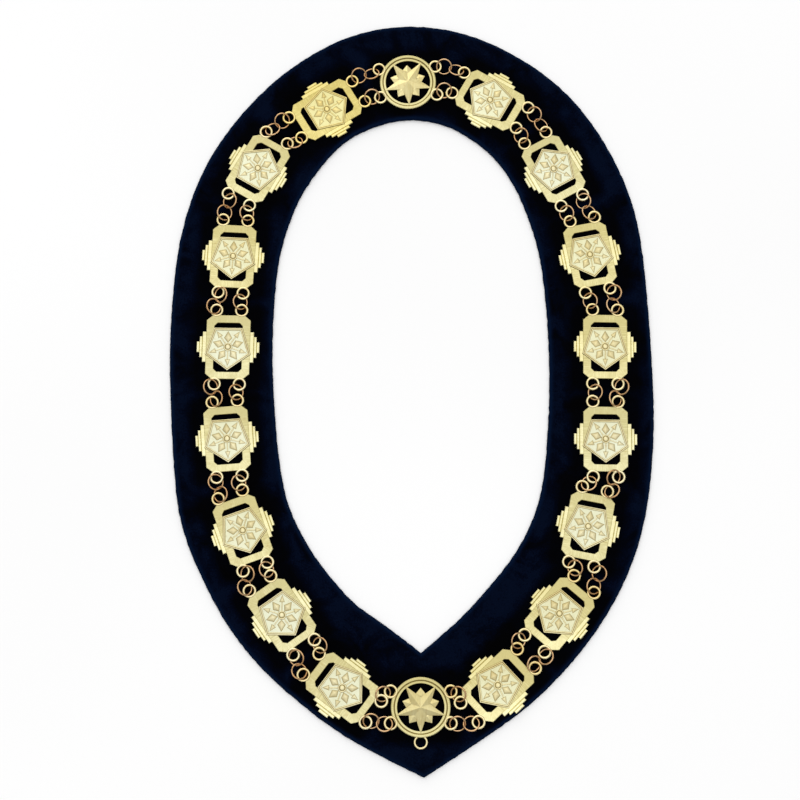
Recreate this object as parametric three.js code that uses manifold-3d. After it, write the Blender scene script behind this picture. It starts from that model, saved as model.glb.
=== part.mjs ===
// A chain of office lying flat: a padded velvet collar with a pointed front, and on it a gilt chain
// of sixteen pierced plates and two star medallions, joined by two rows of round jump rings.
// Millimetres, +Z up. The origin is under the middle of the collar, on the surface it lies on.
// The pointed front is towards -Y and the back of the neck towards +Y.

import * as THREE from "three";
import { mergeVertices } from "three/addons/utils/BufferGeometryUtils.js";
import Module from "manifold-3d";

const wasm = await Module();
wasm.setup();

// Collar
const collarWidth = 338.4;
const collarLength = 533.6;
const collarThickness = 3.0;
const edgeRounding = 1.3;
const edgeSlant = 0.78;
const edgeBulge = { low: 0.3, high: 0.75, inset: 0.325 };

// How the metal sits
const seatGap = 0.3;
const ringGap = 0.5;
const pocketGap = 0.3;
const ringTouch = 0.2;

// Plate
const plateWidth = 31.0;
const plateHeight = 45.7;
const plateThickness = 2.0;
const plateCorner = { across: 4.4, along: 3.7 };
const topBar = 5.6;
const bottomBar = 5.2;
const openingWidth = 19.6;
const openingCorner = 2.2;
const wingSteps = [
  { reach: 2.6, height: 22.1 },
  { reach: 4.6, height: 15.2 },
  { reach: 6.6, height: 7.9 },
];
const pentagonRadius = 17.0;
const pentagonRise = 0.8;
const pentagonRim = 1.5;
const pentagonSink = 0.5;
const petalReach = 10.6;
const petalWaist = 4.2;
const petalRise = 0.5;
const petalEdge = 0.125;

// Eyes and jump rings
const eyeDiameter = 9.0;
const eyeWire = 1.5;
const eyeThickness = 1.0;
const eyeAcross = 8.8;
const eyeOverlap = 0.95;
const ringDiameter = 11.0;
const ringWire = 1.0;

// Medallions
const medallionDiameter = 40.6;
const medallionOpening = 31.8;
const medallionThickness = 2.0;
const innerTierWidth = 1.7;
const innerTierRise = 0.5;
const starOverlap = 1.3;
const starValleys = 6.8;
const starFloor = 0.5;
const starRise = 3.0;
const lesserRayReach = 12.0;
const lesserRaySize = 4.5;
const lesserRayThickness = 1.2;
const medallionEyeOverlap = 1.9;
const medallionEyeAngle = 27.5;
const jewelLoopOverlap = 2.0;
const jewelLoopDiameter = 9.8;
const jewelLoopOpening = 6.6;

// How finely round shapes are cut into flats
const stepsPerStation = 2;
const eyeSides = 8;
const ringSides = 10;
const wireSides = 4;
const medallionSides = 28;
const jewelLoopSides = 16;

// The collar's edges, clockwise from the pointed front, as shares of half its width and length.
const collarStations = [
  { outerX: 0.05, outerY: -1.0, innerX: 0.039, innerY: -0.688 },
  { outerX: -0.237, outerY: -0.908, innerX: -0.094, innerY: -0.624 },
  { outerX: -0.441, outerY: -0.817, innerX: -0.228, innerY: -0.563 },
  { outerX: -0.614, outerY: -0.719, innerX: -0.322, innerY: -0.499 },
  { outerX: -0.749, outerY: -0.611, innerX: -0.396, innerY: -0.438 },
  { outerX: -0.85, outerY: -0.495, innerX: -0.454, innerY: -0.375 },
  { outerX: -0.925, outerY: -0.383, innerX: -0.502, innerY: -0.307 },
  { outerX: -0.965, outerY: -0.26, innerX: -0.539, innerY: -0.203 },
  { outerX: -0.993, outerY: -0.033, innerX: -0.566, innerY: -0.033 },
  { outerX: -1.0, outerY: 0.155, innerX: -0.575, innerY: 0.141 },
  { outerX: -0.975, outerY: 0.373, innerX: -0.553, innerY: 0.34 },
  { outerX: -0.904, outerY: 0.55, innerX: -0.493, innerY: 0.477 },
  { outerX: -0.777, outerY: 0.701, innerX: -0.422, innerY: 0.564 },
  { outerX: -0.568, outerY: 0.851, innerX: -0.309, innerY: 0.654 },
  { outerX: -0.303, outerY: 0.96, innerX: -0.182, innerY: 0.707 },
  { outerX: -0.028, outerY: 1.0, innerX: -0.011, innerY: 0.734 },
  { outerX: 0.255, outerY: 0.974, innerX: 0.163, innerY: 0.714 },
  { outerX: 0.524, outerY: 0.885, innerX: 0.316, innerY: 0.65 },
  { outerX: 0.722, outerY: 0.766, innerX: 0.416, innerY: 0.572 },
  { outerX: 0.866, outerY: 0.614, innerX: 0.486, innerY: 0.475 },
  { outerX: 0.95, outerY: 0.455, innerX: 0.54, innerY: 0.353 },
  { outerX: 0.984, outerY: 0.263, innerX: 0.566, innerY: 0.195 },
  { outerX: 1.0, outerY: 0.034, innerX: 0.573, innerY: 0.034 },
  { outerX: 0.996, outerY: -0.147, innerX: 0.563, innerY: -0.113 },
  { outerX: 0.954, outerY: -0.344, innerX: 0.533, innerY: -0.271 },
  { outerX: 0.86, outerY: -0.512, innerX: 0.465, innerY: -0.388 },
  { outerX: 0.701, outerY: -0.67, innerX: 0.361, innerY: -0.486 },
  { outerX: 0.452, outerY: -0.83, innerX: 0.205, innerY: -0.596 },
];

// The chain's route, clockwise from the back of the neck: the middle of each piece, how far it is
// turned, and how far the jump rings after it stray outwards from the line between their two eyes.
const chainRoute = [
  { name: "medallion_back", x: -2.0, y: 223.5, turn: 3, outerA: 1.2, outerB: 0.6, inner: 2.0 },
  { name: "plate_right_1", x: 57.1, y: 209.7, turn: -121, outerA: 1.0, outerB: 0.4, inner: 0.8 },
  { name: "plate_right_2", x: 101.9, y: 158.3, turn: -151, outerA: -1.6, outerB: -1.8, inner: 0.8 },
  { name: "plate_right_3", x: 126.7, y: 95.2, turn: 11, outerA: 1.6, outerB: -2.0, inner: 0.8 },
  { name: "plate_right_4", x: 136.1, y: 28.8, turn: -1, outerA: 2.4, outerB: -2.4, inner: 1.4 },
  { name: "plate_right_5", x: 135.1, y: -36.7, turn: -2, outerA: -2.2, outerB: 2.6, inner: 1.8 },
  { name: "plate_right_6", x: 121.8, y: -97.6, turn: -10, outerA: 3.0, outerB: -0.4, inner: 2.2 },
  { name: "plate_right_7", x: 101.0, y: -157.2, turn: -41, outerA: 2.4, outerB: -2.4, inner: -2.0 },
  { name: "plate_right_8", x: 58.6, y: -205.4, turn: -48, outerA: 1.0, outerB: 0.6, inner: -2.6 },
  { name: "medallion_front", x: 6.3, y: -220.0, turn: 0, outerA: 0.6, outerB: -1.2, inner: -2.6 },
  { name: "plate_left_8", x: -46.8, y: -207.1, turn: 52, outerA: 1.6, outerB: -1.4, inner: -2.4 },
  { name: "plate_left_7", x: -88.3, y: -158.2, turn: 34, outerA: 2.6, outerB: -1.8, inner: 2.2 },
  { name: "plate_left_6", x: -115.9, y: -100.3, turn: 21, outerA: -2.4, outerB: 0.6, inner: 2.0 },
  { name: "plate_left_5", x: -127.8, y: -36.5, turn: 4, outerA: -2.6, outerB: 2.0, inner: 1.6 },
  { name: "plate_left_4", x: -128.3, y: 28.5, turn: -1, outerA: 2.0, outerB: -2.6, inner: 1.2 },
  { name: "plate_left_3", x: -125.8, y: 94.0, turn: -4, outerA: 0.4, outerB: -1.8, inner: 1.8 },
  { name: "plate_left_2", x: -109.2, y: 158.7, turn: 151, outerA: -1.2, outerB: 0.8, inner: -1.6 },
  { name: "plate_left_1", x: -60.2, y: 202.8, turn: 122, outerA: 1.4, outerB: -1.0, inner: 1.6 },
];

// Sizes that follow from those above
const pentagonHeight = plateThickness + pentagonRise;
const eyeReach = plateHeight / 2 + eyeDiameter / 2 - eyeOverlap;
const medallionEyeReach = medallionDiameter / 2 + eyeDiameter / 2 - medallionEyeOverlap;
const jewelLoopReach = medallionDiameter / 2 + jewelLoopDiameter / 2 - jewelLoopOverlap;
const starTips = medallionOpening / 2 + starOverlap;
const plateBack = collarThickness + seatGap;
const eyeMiddle = plateBack + plateThickness - eyeThickness / 2;

// Colours and finishes
const velvet = new THREE.MeshStandardMaterial({ color: 0x0a1030, roughness: 0.95, metalness: 0 });
const gilt = new THREE.MeshStandardMaterial({ color: 0xe8d695, roughness: 0.35, metalness: 1 });
const warmGilt = new THREE.MeshStandardMaterial({ color: 0xd09a5c, roughness: 0.3, metalness: 1 });

// Solids and the geometry that shows them
function solidOf(geometry) {
  geometry.deleteAttribute("normal");
  geometry.deleteAttribute("uv");
  const merged = mergeVertices(geometry, 1e-4);
  return new wasm.Manifold(
    new wasm.Mesh({
      numProp: 3,
      vertProperties: merged.attributes.position.array,
      triVerts: new Uint32Array(merged.index.array),
    }),
  );
}

function geometryOf(solid) {
  const { vertProperties, triVerts } = solid.getMesh();
  const geometry = new THREE.BufferGeometry();
  geometry.setAttribute("position", new THREE.BufferAttribute(vertProperties, 3));
  geometry.setIndex(new THREE.BufferAttribute(triVerts, 1));
  const loose = geometry.toNonIndexed();
  loose.computeVertexNormals();
  return loose;
}

function namedMesh(name, solid, material) {
  const mesh = new THREE.Mesh(geometryOf(solid), material);
  mesh.name = name;
  return mesh;
}

function slabOf(outline, floor, height, hole) {
  const shape = new THREE.Shape(outline);
  if (hole) shape.holes.push(new THREE.Path(hole));
  const geometry = new THREE.ExtrudeGeometry(shape, { depth: height, bevelEnabled: false });
  geometry.translate(0, 0, floor);
  return solidOf(geometry);
}

function regularOutline(sides, radius, firstAngle = 0) {
  const points = [];
  for (let side = 0; side < sides; side += 1) {
    const angle = firstAngle + (side / sides) * 2 * Math.PI;
    points.push(new THREE.Vector2(radius * Math.cos(angle), radius * Math.sin(angle)));
  }
  return points;
}

function loopAt(x, y, outside, opening, floor, height, sides) {
  const turned = Math.PI / sides;
  const grown = 1 / Math.cos(turned);
  const outer = regularOutline(sides, outside / 2, turned);
  const inner = regularOutline(sides, (opening / 2) * grown, turned);
  const middle = new THREE.Vector2(x, y);
  for (const point of [...outer, ...inner]) point.add(middle);
  return slabOf(outer, floor, height, inner);
}

// A closed star whose ridges run down from its peak to its tips and valleys.
function facetedStar(points, tips, valleys, floor, edgeTop, peak, firstAngle) {
  const vertices = [[0, 0, floor], [0, 0, peak]];
  const count = points * 2;
  for (let i = 0; i < count; i += 1) {
    const reach = i % 2 === 0 ? tips : valleys;
    const angle = firstAngle + (i / count) * 2 * Math.PI;
    const x = reach * Math.cos(angle);
    const y = reach * Math.sin(angle);
    vertices.push([x, y, floor], [x, y, edgeTop]);
  }
  const faces = [];
  for (let i = 0; i < count; i += 1) {
    const low = 2 + i * 2;
    const nextLow = 2 + ((i + 1) % count) * 2;
    faces.push(0, nextLow, low);
    faces.push(low, nextLow, nextLow + 1, low, nextLow + 1, low + 1);
    faces.push(1, low + 1, nextLow + 1);
  }
  const geometry = new THREE.BufferGeometry();
  geometry.setAttribute("position", new THREE.Float32BufferAttribute(vertices.flat(), 3));
  geometry.setIndex(faces);
  return solidOf(geometry);
}

// Velvet collar
function throughStations(column, share) {
  const place = share * collarStations.length;
  const index = Math.floor(place);
  const local = place - index;
  const last = collarStations.length;
  const value = (i) => collarStations[((i % last) + last) % last][column];
  // The edges meet in a point at the front, so no tangent runs through it.
  const before = index === 0 ? 2 * value(0) - value(1) : value(index - 1);
  const after = index === last - 1 ? 2 * value(0) - value(last - 1) : value(index + 2);
  const a = value(index);
  const b = value(index + 1);
  const bend = 2 * before - 5 * a + 4 * b - after;
  const twist = -before + 3 * a - 3 * b + after;
  return a + 0.5 * local * (b - before + local * (bend + local * twist));
}

function collarSolid() {
  const profile = [
    { outward: -edgeSlant, level: 0 },
    { outward: 0, level: collarThickness * edgeBulge.low },
    { outward: -edgeBulge.inset, level: collarThickness * edgeBulge.high },
    { outward: -edgeRounding, level: collarThickness },
  ];
  const stations = collarStations.length * stepsPerStation;
  const vertices = [];
  for (let s = 0; s < stations; s += 1) {
    const share = s / stations;
    const outer = new THREE.Vector2(
      (throughStations("outerX", share) * collarWidth) / 2,
      (throughStations("outerY", share) * collarLength) / 2,
    );
    const inner = new THREE.Vector2(
      (throughStations("innerX", share) * collarWidth) / 2,
      (throughStations("innerY", share) * collarLength) / 2,
    );
    const across = outer.clone().sub(inner).normalize();
    for (const { outward, level } of profile) {
      vertices.push(outer.x + across.x * outward, outer.y + across.y * outward, level);
    }
    for (const { outward, level } of [...profile].reverse()) {
      vertices.push(inner.x - across.x * outward, inner.y - across.y * outward, level);
    }
  }
  const ring = profile.length * 2;
  const faces = [];
  for (let s = 0; s < stations; s += 1) {
    const here = s * ring;
    const next = ((s + 1) % stations) * ring;
    for (let p = 0; p < ring; p += 1) {
      const q = (p + 1) % ring;
      faces.push(here + p, here + q, next + q, here + p, next + q, next + p);
    }
  }
  const geometry = new THREE.BufferGeometry();
  geometry.setAttribute("position", new THREE.Float32BufferAttribute(vertices, 3));
  geometry.setIndex(faces);
  return solidOf(geometry);
}

// Plates: a brushed frame with stepped wings, a raised pentagon and four eyes.
function frameOutline() {
  const halfWidth = plateWidth / 2;
  const halfHeight = plateHeight / 2;
  const corner = plateCorner;
  const rightSide = [];
  rightSide.push([halfWidth - corner.across, -halfHeight]);
  rightSide.push([halfWidth, -halfHeight + corner.along]);
  let reach = 0;
  for (const step of wingSteps) {
    rightSide.push([halfWidth + reach, -step.height / 2]);
    rightSide.push([halfWidth + step.reach, -step.height / 2]);
    reach = step.reach;
  }
  for (const step of [...wingSteps].reverse()) {
    const index = wingSteps.indexOf(step);
    const inside = index === 0 ? 0 : wingSteps[index - 1].reach;
    rightSide.push([halfWidth + step.reach, step.height / 2]);
    rightSide.push([halfWidth + inside, step.height / 2]);
  }
  rightSide.push([halfWidth, halfHeight - corner.along]);
  rightSide.push([halfWidth - corner.across, halfHeight]);
  const leftSide = rightSide.map(([x, y]) => [-x, y]).reverse();
  return [...rightSide, ...leftSide].map(([x, y]) => new THREE.Vector2(x, y));
}

function openingOutline() {
  const right = openingWidth / 2;
  const top = plateHeight / 2 - topBar;
  const bottom = -plateHeight / 2 + bottomBar;
  const corner = openingCorner;
  return [
    [right - corner, bottom],
    [right, bottom + corner],
    [right, top - corner],
    [right - corner, top],
    [-right + corner, top],
    [-right, top - corner],
    [-right, bottom + corner],
    [-right + corner, bottom],
  ].map(([x, y]) => new THREE.Vector2(x, y));
}

function plateEyes() {
  return [
    { x: -eyeAcross, y: eyeReach },
    { x: eyeAcross, y: eyeReach },
    { x: -eyeAcross, y: -eyeReach },
    { x: eyeAcross, y: -eyeReach },
  ];
}

function eyeSolid(x, y) {
  const floor = plateThickness - eyeThickness;
  return loopAt(x, y, eyeDiameter, eyeDiameter - 2 * eyeWire, floor, eyeThickness, eyeSides);
}

function plateSolid() {
  const down = -Math.PI / 2;
  const innerRadius = pentagonRadius - pentagonRim / Math.cos(Math.PI / 5);
  const ground = pentagonHeight - pentagonSink;
  const pocket = slabOf(regularOutline(5, innerRadius, down), ground, 2 * pentagonSink);
  let solid = slabOf(frameOutline(), 0, plateThickness, openingOutline());
  solid = solid.add(slabOf(regularOutline(5, pentagonRadius, down), 0, pentagonHeight));
  solid = solid.subtract(pocket);
  const petals = facetedStar(
    5,
    petalReach,
    petalWaist,
    ground - petalEdge,
    ground + petalEdge,
    ground + petalRise,
    down + Math.PI / 5,
  );
  solid = solid.add(petals);
  for (const eye of plateEyes()) solid = solid.add(eyeSolid(eye.x, eye.y));
  return solid;
}

// Medallions: a ring of two tiers, a five-pointed star over five lesser rays, and four eyes.
function medallionEyes() {
  const angle = THREE.MathUtils.degToRad(medallionEyeAngle);
  const x = medallionEyeReach * Math.cos(angle);
  const y = medallionEyeReach * Math.sin(angle);
  return [
    { x: -x, y },
    { x, y },
    { x: -x, y: -y },
    { x, y: -y },
  ];
}

function medallionSolid(hasJewelLoop) {
  const outside = medallionDiameter / 2;
  const opening = medallionOpening / 2;
  const tier = opening + innerTierWidth;
  const tierTop = medallionThickness + innerTierRise;
  const profile = [
    new THREE.Vector2(opening, 0),
    new THREE.Vector2(outside, 0),
    new THREE.Vector2(outside, medallionThickness),
    new THREE.Vector2(tier, medallionThickness),
    new THREE.Vector2(tier, tierTop),
    new THREE.Vector2(opening, tierTop),
    new THREE.Vector2(opening, 0),
  ];
  const lathe = new THREE.LatheGeometry(profile, medallionSides);
  lathe.rotateX(Math.PI / 2);
  let solid = solidOf(lathe);
  const down = -Math.PI / 2;
  for (let ray = 0; ray < 5; ray += 1) {
    const angle = down + ((ray + 0.5) / 5) * 2 * Math.PI;
    const half = lesserRaySize / 2;
    const middle = lesserRayReach - half * Math.SQRT2;
    const square = new THREE.BoxGeometry(middle + half, lesserRaySize, lesserRayThickness);
    square.translate((middle - half) / 2, 0, starFloor + lesserRayThickness / 2);
    square.rotateZ(angle);
    const corner = new THREE.BoxGeometry(lesserRaySize, lesserRaySize, lesserRayThickness);
    corner.rotateZ(Math.PI / 4);
    corner.translate(middle, 0, starFloor + lesserRayThickness / 2);
    corner.rotateZ(angle);
    solid = solid.add(solidOf(square)).add(solidOf(corner));
  }
  const edgeTop = starFloor + lesserRayThickness;
  solid = solid.add(facetedStar(5, starTips, starValleys, starFloor, edgeTop, starRise, down));
  for (const eye of medallionEyes()) solid = solid.add(eyeSolid(eye.x, eye.y));
  if (hasJewelLoop) {
    solid = solid.add(
      loopAt(0, -jewelLoopReach, jewelLoopDiameter, jewelLoopOpening, 0, medallionThickness, jewelLoopSides),
    );
  }
  return solid;
}

// Jump rings. Each is tilted about the line between the places where it crosses its neighbours,
// so that it passes over them on one side of that line and under them on the other.
const ringRadius = (ringDiameter - ringWire) / 2;
const eyeRadius = (eyeDiameter - eyeWire) / 2;
const pairPitch = 2 * ringRadius - ringWire + ringTouch;
const crossingHeight = eyeThickness / 2 + ringWire / 2 + ringGap;

// Where the line between two circles' crossings meets the line between their middles.
function crossing(fromRing, toRing, neighbourRadius) {
  const towards = toRing.clone().sub(fromRing);
  const apart = towards.length();
  const along = (apart ** 2 + ringRadius ** 2 - neighbourRadius ** 2) / (2 * apart);
  const half = Math.sqrt(ringRadius ** 2 - along ** 2);
  return { point: fromRing.clone().addScaledVector(towards, along / apart), along, half };
}

function tiltedRing(middle, before, after, firstCrossing, sense, contact = after) {
  const hinge = after.clone().sub(before).normalize();
  const side = new THREE.Vector2(-hinge.y, hinge.x);
  const towardsEye = firstCrossing.point.clone().sub(middle).normalize();
  const reach = firstCrossing.half * Math.abs(towardsEye.dot(hinge));
  const tilt = sense * Math.asin(crossingHeight / reach);
  const offLine = middle.clone().sub(before).dot(side);
  const level = eyeMiddle + offLine * Math.tan(tilt);
  return {
    middle: new THREE.Vector3(middle.x, middle.y, level),
    hinge: new THREE.Vector3(hinge.x, hinge.y, 0),
    tilt,
    joint: Math.atan2(contact.y - middle.y, contact.x - middle.x),
  };
}

function placeRing(geometry, ring) {
  geometry.rotateZ(ring.joint + Math.PI / 2);
  geometry.applyMatrix4(new THREE.Matrix4().makeRotationAxis(ring.hinge, ring.tilt));
  geometry.translate(ring.middle.x, ring.middle.y, ring.middle.z);
  return solidOf(geometry);
}

function ringSolid(ring) {
  const wire = ringWire / 2;
  const profile = [];
  for (let side = 0; side <= wireSides; side += 1) {
    const angle = (side / wireSides) * 2 * Math.PI;
    profile.push(new THREE.Vector2(ringRadius + wire * Math.cos(angle), wire * Math.sin(angle)));
  }
  profile[wireSides].copy(profile[0]);
  const geometry = new THREE.LatheGeometry(profile, ringSides);
  geometry.rotateX(Math.PI / 2);
  return placeRing(geometry, ring);
}

function pocketSolid(ring) {
  const radius = ringRadius + ringWire / 2 + pocketGap;
  const thickness = ringWire + 2 * pocketGap;
  const geometry = new THREE.CylinderGeometry(radius, radius, thickness, ringSides);
  geometry.rotateX(Math.PI / 2);
  return placeRing(geometry, ring);
}

function singleRing(eyeA, eyeB, stray) {
  const line = eyeB.clone().sub(eyeA);
  const outward = new THREE.Vector2(-line.y, line.x).normalize();
  const middle = eyeA.clone().addScaledVector(line, 0.5).addScaledVector(outward, stray);
  const first = crossing(middle, eyeA, eyeRadius);
  const second = crossing(middle, eyeB, eyeRadius);
  const sense = stray < 0 ? -1 : 1;
  return [tiltedRing(middle, first.point, second.point, first, sense)];
}

function ringPair(eyeA, eyeB, strayA, strayB) {
  const line = eyeB.clone().sub(eyeA);
  const along = line.clone().normalize();
  const outward = new THREE.Vector2(-line.y, line.x).normalize();
  const spread = Math.sqrt(pairPitch ** 2 - (strayA - strayB) ** 2);
  const lead = (line.length() - spread) / 2;
  const first = eyeA.clone().addScaledVector(along, lead).addScaledVector(outward, strayA);
  const second = eyeA.clone().addScaledVector(along, lead + spread).addScaledVector(outward, strayB);
  const contact = first.clone().add(second).multiplyScalar(0.5);
  const nearA = crossing(first, eyeA, eyeRadius);
  const nearB = crossing(second, eyeB, eyeRadius);
  const sense = strayA < strayB ? -1 : 1;
  return [
    tiltedRing(first, nearA.point, contact, nearA, sense),
    tiltedRing(second, contact, nearB.point, nearB, -sense, contact),
  ];
}

// The middles of a piece's eyes where it lies on the collar.
function placedEyes(piece) {
  const eyes = piece.name.startsWith("plate") ? plateEyes() : medallionEyes();
  const middle = new THREE.Vector2(piece.x, piece.y);
  const turn = THREE.MathUtils.degToRad(piece.turn);
  const pivot = new THREE.Vector2();
  return eyes.map(({ x, y }) => new THREE.Vector2(x, y).rotateAround(pivot, turn).add(middle));
}

// The two eyes of a piece that face a neighbour, outer first.
function facingEyes(piece, neighbour, after) {
  const towards = new THREE.Vector2(neighbour.x - piece.x, neighbour.y - piece.y).normalize();
  const middle = new THREE.Vector2(piece.x, piece.y);
  const ahead = (eye) => eye.clone().sub(middle).dot(towards);
  const facing = placedEyes(piece)
    .sort((a, b) => ahead(b) - ahead(a))
    .slice(0, 2);
  const leftward = (eye) => towards.cross(eye.clone().sub(middle)) * (after ? 1 : -1);
  return facing.sort((a, b) => leftward(b) - leftward(a));
}

const office = new THREE.Group();
let collar = collarSolid();
const plate = plateSolid();
const medallions = {
  medallion_back: medallionSolid(false),
  medallion_front: medallionSolid(true),
};

for (const piece of chainRoute) {
  const solid = medallions[piece.name] ?? plate;
  const mesh = namedMesh(piece.name, solid, gilt);
  mesh.position.set(piece.x, piece.y, plateBack);
  mesh.rotation.z = THREE.MathUtils.degToRad(piece.turn);
  office.add(mesh);
}

chainRoute.forEach((piece, index) => {
  const next = chainRoute[(index + 1) % chainRoute.length];
  const [outerA, innerA] = facingEyes(piece, next, true);
  const [outerB, innerB] = facingEyes(next, piece, false);
  const number = String(index + 1).padStart(2, "0");
  const pair = ringPair(outerA, outerB, piece.outerA, piece.outerB);
  const single = singleRing(innerA, innerB, piece.inner);
  const joined = ringSolid(pair[0]).add(ringSolid(pair[1]));
  office.add(namedMesh(`outer_rings_${number}`, joined, warmGilt));
  office.add(namedMesh(`inner_ring_${number}`, ringSolid(single[0]), warmGilt));
  for (const ring of [...pair, ...single]) collar = collar.subtract(pocketSolid(ring));
});

office.add(namedMesh("velvet_collar", collar, velvet));

export default office;
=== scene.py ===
import math
import bpy
import numpy as np
from mathutils import Matrix, Vector, noise


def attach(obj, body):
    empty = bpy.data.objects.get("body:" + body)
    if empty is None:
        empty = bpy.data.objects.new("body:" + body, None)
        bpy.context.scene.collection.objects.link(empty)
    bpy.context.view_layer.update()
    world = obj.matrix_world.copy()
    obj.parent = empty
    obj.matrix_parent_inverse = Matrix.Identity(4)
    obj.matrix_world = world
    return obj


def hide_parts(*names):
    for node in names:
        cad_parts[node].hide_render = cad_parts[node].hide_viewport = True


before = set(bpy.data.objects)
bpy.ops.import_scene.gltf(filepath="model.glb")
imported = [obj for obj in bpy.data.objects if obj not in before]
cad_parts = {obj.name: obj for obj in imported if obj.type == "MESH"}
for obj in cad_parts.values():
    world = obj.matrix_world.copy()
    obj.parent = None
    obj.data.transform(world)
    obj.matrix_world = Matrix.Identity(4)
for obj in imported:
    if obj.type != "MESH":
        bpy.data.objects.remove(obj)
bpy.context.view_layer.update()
mm = 0.001


def newObject(name, data):
    made = bpy.data.objects.new(name, data)
    bpy.context.scene.collection.objects.link(made)
    return made


# The camera looks down on the chain from a little towards its point, as the photo does
photoCamera = {"height": 1.2, "leanDegrees": 10.0, "metresPerPixel": 0.0007, "pixels": 800,
               "middle": (-0.0077, -0.0083), "sensor": 36.0}


def makeCamera(values):
    lean = math.radians(values["leanDegrees"])
    camera = bpy.data.cameras.new("photoCamera")
    seen = values["metresPerPixel"] * values["pixels"]
    camera.sensor_width = values["sensor"]
    camera.lens = values["sensor"] * values["height"] / seen
    cameraObject = newObject("photoCamera", camera)
    x, y = values["middle"]
    cameraObject.location = (x, y - values["height"] * math.sin(lean), values["height"] * math.cos(lean))
    cameraObject.rotation_euler = (lean, 0, 0)
    bpy.context.scene.camera = cameraObject


makeCamera(photoCamera)
print("camera set")


# Node helpers for the materials
def newMaterial(name):
    material = bpy.data.materials.new(name)
    material.use_nodes = True
    nodes = material.node_tree.nodes
    return material, nodes, material.node_tree.links, nodes["Principled BSDF"]


def addNode(nodes, kind, **settings):
    node = nodes.new(kind)
    for key, value in settings.items():
        if key in node.bl_rna.properties:
            setattr(node, key, value)
        else:
            node.inputs[key.replace("_", " ")].default_value = value
    return node


def ramp(nodes, links, source, stops):
    node = nodes.new("ShaderNodeValToRGB")
    node.color_ramp.elements[0].position = stops[0][0]
    node.color_ramp.elements[0].color = (*stops[0][1], 1)
    node.color_ramp.elements[1].position = stops[-1][0]
    node.color_ramp.elements[1].color = (*stops[-1][1], 1)
    for place, colour in stops[1:-1]:
        node.color_ramp.elements.new(place).color = (*colour, 1)
    links.new(source, node.inputs["Fac"])
    return node.outputs["Color"]


def tinted(nodes, links, share, colour, tint, blend="MIX"):
    node = addNode(nodes, "ShaderNodeMix", data_type="RGBA", blend_type=blend)
    links.new(share, node.inputs[0])
    links.new(colour, node.inputs[6])
    node.inputs[7].default_value = (*tint, 1)
    return node.outputs[2]


def bumped(nodes, links, height, strength, distance):
    node = addNode(nodes, "ShaderNodeBump", Strength=strength, Distance=distance)
    links.new(height, node.inputs["Height"])
    return node


# Gilt finishes: colour that wanders between two tones, strokes across each bar, painted shade in the creases
# and on the side away from the chain's point, and tarnish
giltFinishes = {
    "frame": {"pale": (0.95, 0.90, 0.55), "deep": (0.60, 0.54, 0.26),
              "rough": 0.32, "strokes": 1.1, "grain": 0.7},
    "slat": {"pale": (0.99, 0.96, 0.64), "deep": (0.76, 0.70, 0.38),
             "rough": 0.26, "strokes": 0.8, "grain": 0.5},
    "ground": {"pale": (0.90, 0.92, 0.72), "deep": (0.82, 0.82, 0.58),
               "rough": 0.5, "strokes": 0.3, "grain": 0.1},
    "raised": {"pale": (0.90, 0.85, 0.57), "deep": (0.74, 0.64, 0.34),
               "rough": 0.3, "strokes": 0.3, "grain": 0.1},
    "eye": {"pale": (0.99, 0.90, 0.58), "deep": (0.88, 0.72, 0.36),
            "rough": 0.2, "strokes": 0.2, "grain": 0.05},
    "star": {"pale": (0.97, 0.91, 0.57), "deep": (0.76, 0.65, 0.31),
             "rough": 0.3, "strokes": 0.6, "grain": 0.3},
    "jumpRing": {"pale": (0.90, 0.62, 0.36), "deep": (0.60, 0.31, 0.11),
                 "rough": 0.16, "strokes": 0.2, "grain": 0.05},
}
# What all the finishes share; scales are patterns per metre, depths are in metres
giltSurface = {"creaseShade": (0.33, 0.25, 0.09), "warm": (1.0, 0.92, 0.62), "tarnish": (0.72, 0.5, 0.32),
               "cloudScale": 75.0, "spotScale": 420.0, "sandScale": 2600.0, "strokeStretch": 0.09,
               "toneStops": (0.35, 0.95), "tarnishStops": (0.58, 0.8), "tarnishMost": 0.4,
               "creaseShadePower": 4.0, "reliefCreaseShadePower": 2.4, "roughSpread": (-0.08, 0.1),
               "strokeDepth": 0.0003, "sand": 0.15, "sandDepth": 0.0001,
               "shadeBase": 0.03, "shadeReach": 20, "shadeContrast": 0.15}


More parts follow.
